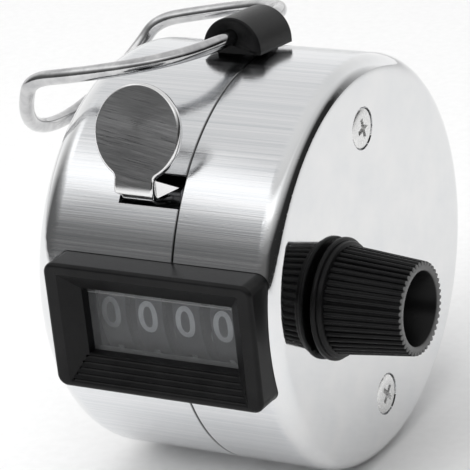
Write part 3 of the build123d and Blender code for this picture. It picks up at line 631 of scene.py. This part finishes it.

# The pane is duller where it meets the bezel, and a painted highlight, a bright line, runs below the
# strip along its top.
highlight_bottom, highlight_top = 3.5 * mm, 3.58 * mm
low_strip, left_strip, strip_fade = -2.3 * mm, 8.0 * mm, 0.1 * mm
spot = axes(tree)
# Painted highlight: a thin band just below the top strip is made more opaque and grey, for light caught
# along the pane's edge.
highlight_start = between(tree, spot["Z"], 0.0, 0.7, highlight_bottom, highlight_bottom + 0.04 * mm)
highlight_end = between(tree, spot["Z"], 0.7, 0.3, highlight_top, highlight_top + 0.06 * mm)
frost_and_painted_highlight = maths(tree, "MINIMUM", highlight_start, highlight_end)
for way, edge in (("Z", low_strip), ("X", left_strip)):
    strip = between(tree, spot[way], 0.3, 0.0, edge, edge + strip_fade)
    frost_and_painted_highlight = maths(tree, "MAXIMUM", frost_and_painted_highlight, strip)
misted = maths(tree, "ADD", edge_on.outputs[0], haze)
shown = maths(tree, "MAXIMUM", misted, frost_and_painted_highlight)
clear = add(tree, "ShaderNodeBsdfTransparent", {"Color": (0.93, 0.94, 0.95, 1)})
mixed = add(tree, "ShaderNodeMixShader", {0: shown, 1: clear.outputs[0], 2: shader.outputs[0]})
tree.links.new(mixed.outputs[0], tree.nodes["Material Output"].inputs["Surface"])
dress(pane, "window_lens")


# ---------------------------------------------------------------------------------------------------
# Reset knob: black moulding pressed on the spindle, fluted by moulded ribs for grip, hollow at its end.
# A double flange runs close to the end face.
knob_x = 29.57 * mm
knob_end = knob_x + 9.3 * mm
flange_step = 0.55 * mm
flange_end = knob_x + 1.1 * mm
flange_radius, second_flange_radius, hole_radius = 6.35 * mm, 6.0 * mm, 1.52 * mm
root_radius, tip_radius, bore_radius = 5.6 * mm, 4.85 * mm, 3.85 * mm
bore_floor = knob_x + 2.6 * mm
rib_depth = 0.32 * mm


def turned_piece(name, profile, steps):
    """A ring-shaped solid: a closed profile of (x, radius) points turned about the spindle's axis."""
    mesh = bmesh.new()
    rings = []
    for step in range(steps):
        a = 2 * math.pi * step / steps
        ring = [(x, spindle_y + r * math.cos(a), r * math.sin(a)) for x, r in profile]
        rings.append([mesh.verts.new(point) for point in ring])
    for here, there in zip(rings, rings[1:] + rings[:1]):
        for i in range(len(profile)):
            j = (i + 1) % len(profile)
            mesh.faces.new((here[i], here[j], there[j], there[i]))
    bmesh.ops.recalc_face_normals(mesh, faces=mesh.faces)
    data = bpy.data.meshes.new(name)
    mesh.to_mesh(data)
    mesh.free()
    return data


soft = 0.12 * mm
core_profile = [
    (knob_x, hole_radius),
    (knob_x, flange_radius - soft),
    (knob_x + soft, flange_radius),
    (knob_x + flange_step - soft, flange_radius),
    (knob_x + flange_step, flange_radius - soft),
    (knob_x + flange_step, second_flange_radius),
    (flange_end - soft, second_flange_radius),
    (flange_end, second_flange_radius - soft),
    (flange_end, root_radius - rib_depth + 0.1 * mm),
    (flange_end + 0.1 * mm, root_radius - rib_depth),
    (knob_end - 0.15 * mm, tip_radius - rib_depth),
    (knob_end, tip_radius - rib_depth - soft),
    (knob_end, bore_radius + soft),
    (knob_end - soft, bore_radius),
    (bore_floor + soft, bore_radius),
    (bore_floor, bore_radius - soft),
    (bore_floor, hole_radius),
]
core = bpy.data.objects.new("knob_core", turned_piece("knob_core", core_profile, 132))

# One rib: a half-round bar that follows the barrel's taper and rounds off at the tip.
rib_count = 44
rib_mesh = bmesh.new()
rib_stations = [
    (flange_end, root_radius, 1.0),
    (flange_end + 0.15 * mm, root_radius, 1.0),
    (knob_end - 0.25 * mm, tip_radius, 1.0),
    (knob_end - 0.05 * mm, tip_radius - 0.03 * mm, 0.95),
    (knob_end, tip_radius - 0.08 * mm, 0.85),
]
rib_rings = []
for x, top, share in rib_stations:
    half_rib = 0.36 * math.pi * top / rib_count * 2 * share
    ring = []
    for step in range(8):
        a = math.pi * step / 7
        rise = (top - rib_depth - 0.05 * mm) + (rib_depth + 0.05 * mm) * math.sin(a)
        ring.append(rib_mesh.verts.new((x, half_rib * math.cos(a), rise)))
    rib_rings.append(ring)
for here, there in zip(rib_rings, rib_rings[1:]):
    for i in range(8):
        j = (i + 1) % 8
        rib_mesh.faces.new((here[i], here[j], there[j], there[i]))
rib_mesh.faces.new(rib_rings[0])
rib_mesh.faces.new(rib_rings[-1])
bmesh.ops.recalc_face_normals(rib_mesh, faces=rib_mesh.faces)
rib_data = bpy.data.meshes.new("knob_rib")
rib_mesh.to_mesh(rib_data)
rib_mesh.free()
rib = bpy.data.objects.new("knob_rib", rib_data)

rib_tree, given, output = new_tree(
    "ribs_round_a_barrel", rib="Object", core="Object", ribs="Int", centre="Vector", material="Material"
)
rib_shape = add(rib_tree, "GeometryNodeObjectInfo", {"Object": given.outputs["Rib"]})
core_shape = add(rib_tree, "GeometryNodeObjectInfo", {"Object": given.outputs["Core"]})
dots = add(rib_tree, "GeometryNodePoints", {"Count": given.outputs["Ribs"]})
one_turn = maths(rib_tree, "DIVIDE", 2 * math.pi, given.outputs["Ribs"])
rib_number = add(rib_tree, "GeometryNodeInputIndex").outputs[0]
rib_turn = maths(rib_tree, "MULTIPLY", rib_number, one_turn)
rib_spin = add(rib_tree, "ShaderNodeCombineXYZ", {"X": rib_turn})
rib_row = add(
    rib_tree,
    "GeometryNodeInstanceOnPoints",
    {
        "Points": dots.outputs[0],
        "Instance": rib_shape.outputs["Geometry"],
        "Rotation": rib_spin.outputs[0],
    },
)
rib_ring = add(
    rib_tree,
    "GeometryNodeTransform",
    {"Geometry": rib_row.outputs[0], "Translation": given.outputs["Centre"]},
)
knob_join = add(rib_tree, "GeometryNodeJoinGeometry")
rib_tree.links.new(rib_ring.outputs[0], knob_join.inputs[0])
rib_tree.links.new(core_shape.outputs["Geometry"], knob_join.inputs[0])
close_tree(rib_tree, knob_join.outputs[0], given, output)
knob = grow(
    "ribbed_knob",
    rib_tree,
    bpy.data.meshes.new("ribbed_knob"),
    rib=rib,
    core=core,
    ribs=rib_count,
    centre=(0, spindle_y, 0),
    material=black,
)
knob.data.shade_smooth()
knob.data.set_sharp_from_angle(angle=math.radians(50))
settle(knob, black, "reset", "black_plastic", "reset_knob")


# ---------------------------------------------------------------------------------------------------
# Case screws: two cross-recess pan heads in shallow seats in the right shell, tapped into the posts.
# Nickel plated, a little worn at the recess.
seat_x = 28.67 * mm
head_radius, head_height = 2.15 * mm, 0.6 * mm
head_profile = [
    (-6.0 * mm, 0.0),
    (-6.0 * mm, 0.9 * mm),
    (0.0, 1.0 * mm),
    (0.0, head_radius - 0.05 * mm),
    (0.06 * mm, head_radius),
    (0.3 * mm, head_radius),
    (0.42 * mm, head_radius - 0.08 * mm),
    (0.52 * mm, head_radius - 0.3 * mm),
    (0.58 * mm, head_radius - 0.8 * mm),
    (head_height, 0.0),
]
screw_mesh = bmesh.new()
screw_steps = 64
rings = []
for step in range(screw_steps):
    a = 2 * math.pi * step / screw_steps
    rings.append([screw_mesh.verts.new((x, r * math.cos(a), r * math.sin(a))) for x, r in head_profile])
for here, there in zip(rings, rings[1:] + rings[:1]):
    for i in range(len(head_profile) - 1):
        screw_mesh.faces.new((here[i], here[i + 1], there[i + 1], there[i]))
bmesh.ops.remove_doubles(screw_mesh, verts=screw_mesh.verts, dist=1e-7)
bmesh.ops.recalc_face_normals(screw_mesh, faces=screw_mesh.faces)
screw_data = bpy.data.meshes.new("screw")
screw_mesh.to_mesh(screw_data)
screw_mesh.free()
screw = bpy.data.objects.new("screw", screw_data)
bpy.context.scene.collection.objects.link(screw)

# The recess: a cross of two wedges, cut from the head.
punch_mesh = bmesh.new()
for turn in (0, math.pi / 2):
    top, foot, half = 1.4 * mm, 0.6 * mm, 0.31 * mm
    ends = [(0.9 * mm, top, half), (0.08 * mm, foot, half * 0.6)]
    corners = []
    for x, reach_out, thick_half in ends:
        for y, z in ((-1, -1), (1, -1), (1, 1), (-1, 1)):
            corner = Vector((x, y * reach_out, z * thick_half))
            corners.append(punch_mesh.verts.new(Matrix.Rotation(turn, 3, "X") @ corner))
    punch_mesh.faces.new(corners[:4])
    punch_mesh.faces.new(corners[4:])
    for i in range(4):
        j = (i + 1) % 4
        punch_mesh.faces.new((corners[i], corners[j], corners[4 + j], corners[4 + i]))
bmesh.ops.recalc_face_normals(punch_mesh, faces=punch_mesh.faces)
punch_data = bpy.data.meshes.new("punch")
punch_mesh.to_mesh(punch_data)
punch_mesh.free()
punch = bpy.data.objects.new("punch", punch_data)
bpy.context.scene.collection.objects.link(punch)
cutting = screw.modifiers.new("recess", "BOOLEAN")
cutting.operation = "DIFFERENCE"
cutting.object = punch
cutting.solver = "EXACT"
cutting.use_self = True
bpy.context.view_layer.update()
graph = bpy.context.evaluated_depsgraph_get()
cut_head = bpy.data.meshes.new_from_object(screw.evaluated_get(graph), depsgraph=graph)
screw.modifiers.remove(cutting)
screw.data = cut_head

screw_tree, given, output = new_tree(
    "screws_at_points", screw="Object", first_turn="Float", turn_between="Float", material="Material"
)
screw_shape = add(screw_tree, "GeometryNodeObjectInfo", {"Object": given.outputs["Screw"]})
screw_number = add(screw_tree, "GeometryNodeInputIndex").outputs[0]
turn_between, first_turn = given.outputs["Turn Between"], given.outputs["First Turn"]
screw_turn = maths(screw_tree, "MULTIPLY_ADD", screw_number, turn_between, first_turn)
screw_spin = add(screw_tree, "ShaderNodeCombineXYZ", {"X": screw_turn})
seats = add(screw_tree, "GeometryNodeMeshToPoints", {"Mesh": given.outputs["Geometry"]})
set_screws = add(
    screw_tree,
    "GeometryNodeInstanceOnPoints",
    {
        "Points": seats.outputs[0],
        "Instance": screw_shape.outputs["Geometry"],
        "Rotation": screw_spin.outputs[0],
    },
)
close_tree(screw_tree, set_screws.outputs[0], given, output)

nickel, tree, shader = new_finish("nickel_screw")
shader.inputs["Metallic"].default_value = 1.0
swirl = grain(tree, (1500, 3500, 3500), detail=4.0)
tree.links.new(
    tint(tree, between(tree, swirl, 0, 1), (0.66, 0.66, 0.66), (0.86, 0.86, 0.85)),
    shader.inputs["Base Color"],
)
tree.links.new(between(tree, swirl, 0.16, 0.32), shader.inputs["Roughness"])
relief(tree, shader, swirl, 1.2e-5)
seat_mesh = bpy.data.meshes.new("seats")
seat_mesh.from_pydata([(seat_x, 0, 15.1 * mm), (seat_x, 0, -15.1 * mm)], [], [])
screws = grow(
    "cross_head_screws",
    screw_tree,
    seat_mesh,
    screw=screw,
    first_turn=math.radians(12),
    turn_between=math.radians(31),
    material=nickel,
)
screws.data.shade_smooth()
screws.data.set_sharp_from_angle(angle=math.radians(30))
settle(screws, nickel, "case", "screw_steel", "case_screws")
for helper in (rib, core, screw, punch):
    bpy.data.objects.remove(helper)


# ---------------------------------------------------------------------------------------------------
# The table: a plain pale sheet under the drum, the studio's soft light, and the camera.
# Darker walls low in front and to the right give the plating something to show.
floor_mesh = bmesh.new()
bmesh.ops.create_circle(floor_mesh, cap_ends=True, segments=96, radius=4.0)
floor_data = bpy.data.meshes.new("table")
floor_mesh.to_mesh(floor_data)
floor_mesh.free()
floor_data.transform(Matrix.Translation((0, 0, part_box("left_shell")[0].z - 0.02 * mm)))
table = bpy.data.objects.new("table", floor_data)
bpy.context.scene.collection.objects.link(table)
paper, tree, shader = new_finish("table_paper")
tooth = grain(tree, (900, 900, 900))
tree.links.new(
    tint(tree, between(tree, tooth, 0, 1), (0.82, 0.82, 0.82), (0.85, 0.85, 0.85)),
    shader.inputs["Base Color"],
)
tree.links.new(between(tree, tooth, 0.7, 0.9), shader.inputs["Roughness"])
shader.inputs["Specular IOR Level"].default_value = 0.1
table.data.materials.append(paper)

world = bpy.data.worlds.new("studio")
bpy.context.scene.world = world
world.use_nodes = True
tree = world.node_tree
backdrop = tree.nodes["Background"]
way = axes(tree, "Generated")
brightest = 1.4


def ramp(value, stops):
    """A brightness along a value, through (place, brightness) stops."""
    node = add(tree, "ShaderNodeValToRGB", {"Fac": value})
    while len(node.color_ramp.elements) < len(stops):
        node.color_ramp.elements.new(0.5)
    for element, (stop, bright) in zip(node.color_ramp.elements, stops):
        element.position = stop
        element.color = [bright / brightest] * 3 + [1]
    return node.outputs["Color"]


low_front = [(0, 0.1), (0.33, 0.14), (0.47, 0.3), (0.6, 0.75)]
high_front = [(0.66, 1.35), (0.76, 1.35), (0.84, 0.72), (1, 0.8)]
front = ramp(way["Z"], low_front + high_front)
back = ramp(way["Z"], [(0, 1.05), (0.3, 0.95), (0.7, 0.8), (1, 0.8)])
right = ramp(way["Z"], [(0, 0.02), (0.35, 0.03), (0.6, 0.6), (1, 0.8)])
to_back = between(tree, way["Y"], 0, 1, -0.15, 0.3)
walls = blend(tree, to_back, front, back)
to_right = between(tree, way["X"], 0, 1, 0.35, 0.7)
room = blend(tree, to_right, walls, right)
tree.links.new(room, backdrop.inputs["Color"])
backdrop.inputs["Strength"].default_value = brightest
plain = add(tree, "ShaderNodeBackground", {"Color": (0.95, 0.95, 0.95, 1), "Strength": 1.0})
seen = add(tree, "ShaderNodeLightPath")
sky = add(
    tree,
    "ShaderNodeMixShader",
    {0: seen.outputs["Is Camera Ray"], 1: backdrop.outputs[0], 2: plain.outputs[0]},
)
tree.links.new(sky.outputs[0], tree.nodes["World Output"].inputs["Surface"])

middle = Vector((17.5, -8, 3)) * mm
for name, way_to, distance, size, power in (
    ("overhead", (-0.15, -0.35, 1.0), 0.7, 0.9, 3.2),
    ("front_left", (-0.6, -1.0, 0.45), 0.7, 0.5, 1.5),
):
    lamp_data = bpy.data.lights.new(name, "AREA")
    lamp_data.shape = "DISK"
    lamp_data.size = size
    lamp_data.energy = power
    lamp = bpy.data.objects.new(name, lamp_data)
    bpy.context.scene.collection.objects.link(lamp)
    direction = Vector(way_to).normalized()
    lamp.location = middle + direction * distance
    lamp.rotation_euler = direction.to_track_quat("Z", "Y").to_euler()
    lamp.visible_glossy = False
    lamp.visible_camera = False

camera_data = bpy.data.cameras.new("camera")
camera_data.lens = 218.2
camera_data.clip_start = 0.01
camera = bpy.data.objects.new("camera", camera_data)
bpy.context.scene.collection.objects.link(camera)
right_way = Vector((0.87003, 0.48228, -0.10222))
back_way = Vector((0.48268, -0.79113, 0.37568)).normalized()
up_way = back_way.cross(right_way).normalized()
right_way = up_way.cross(back_way)
view = Matrix((right_way, up_way, back_way)).transposed().to_4x4()
view.translation = Vector((159.808, -241.356, 116.052)) * mm
camera.matrix_world = view
bpy.context.scene.camera = camera
bpy.context.scene.view_settings.view_transform = "Standard"
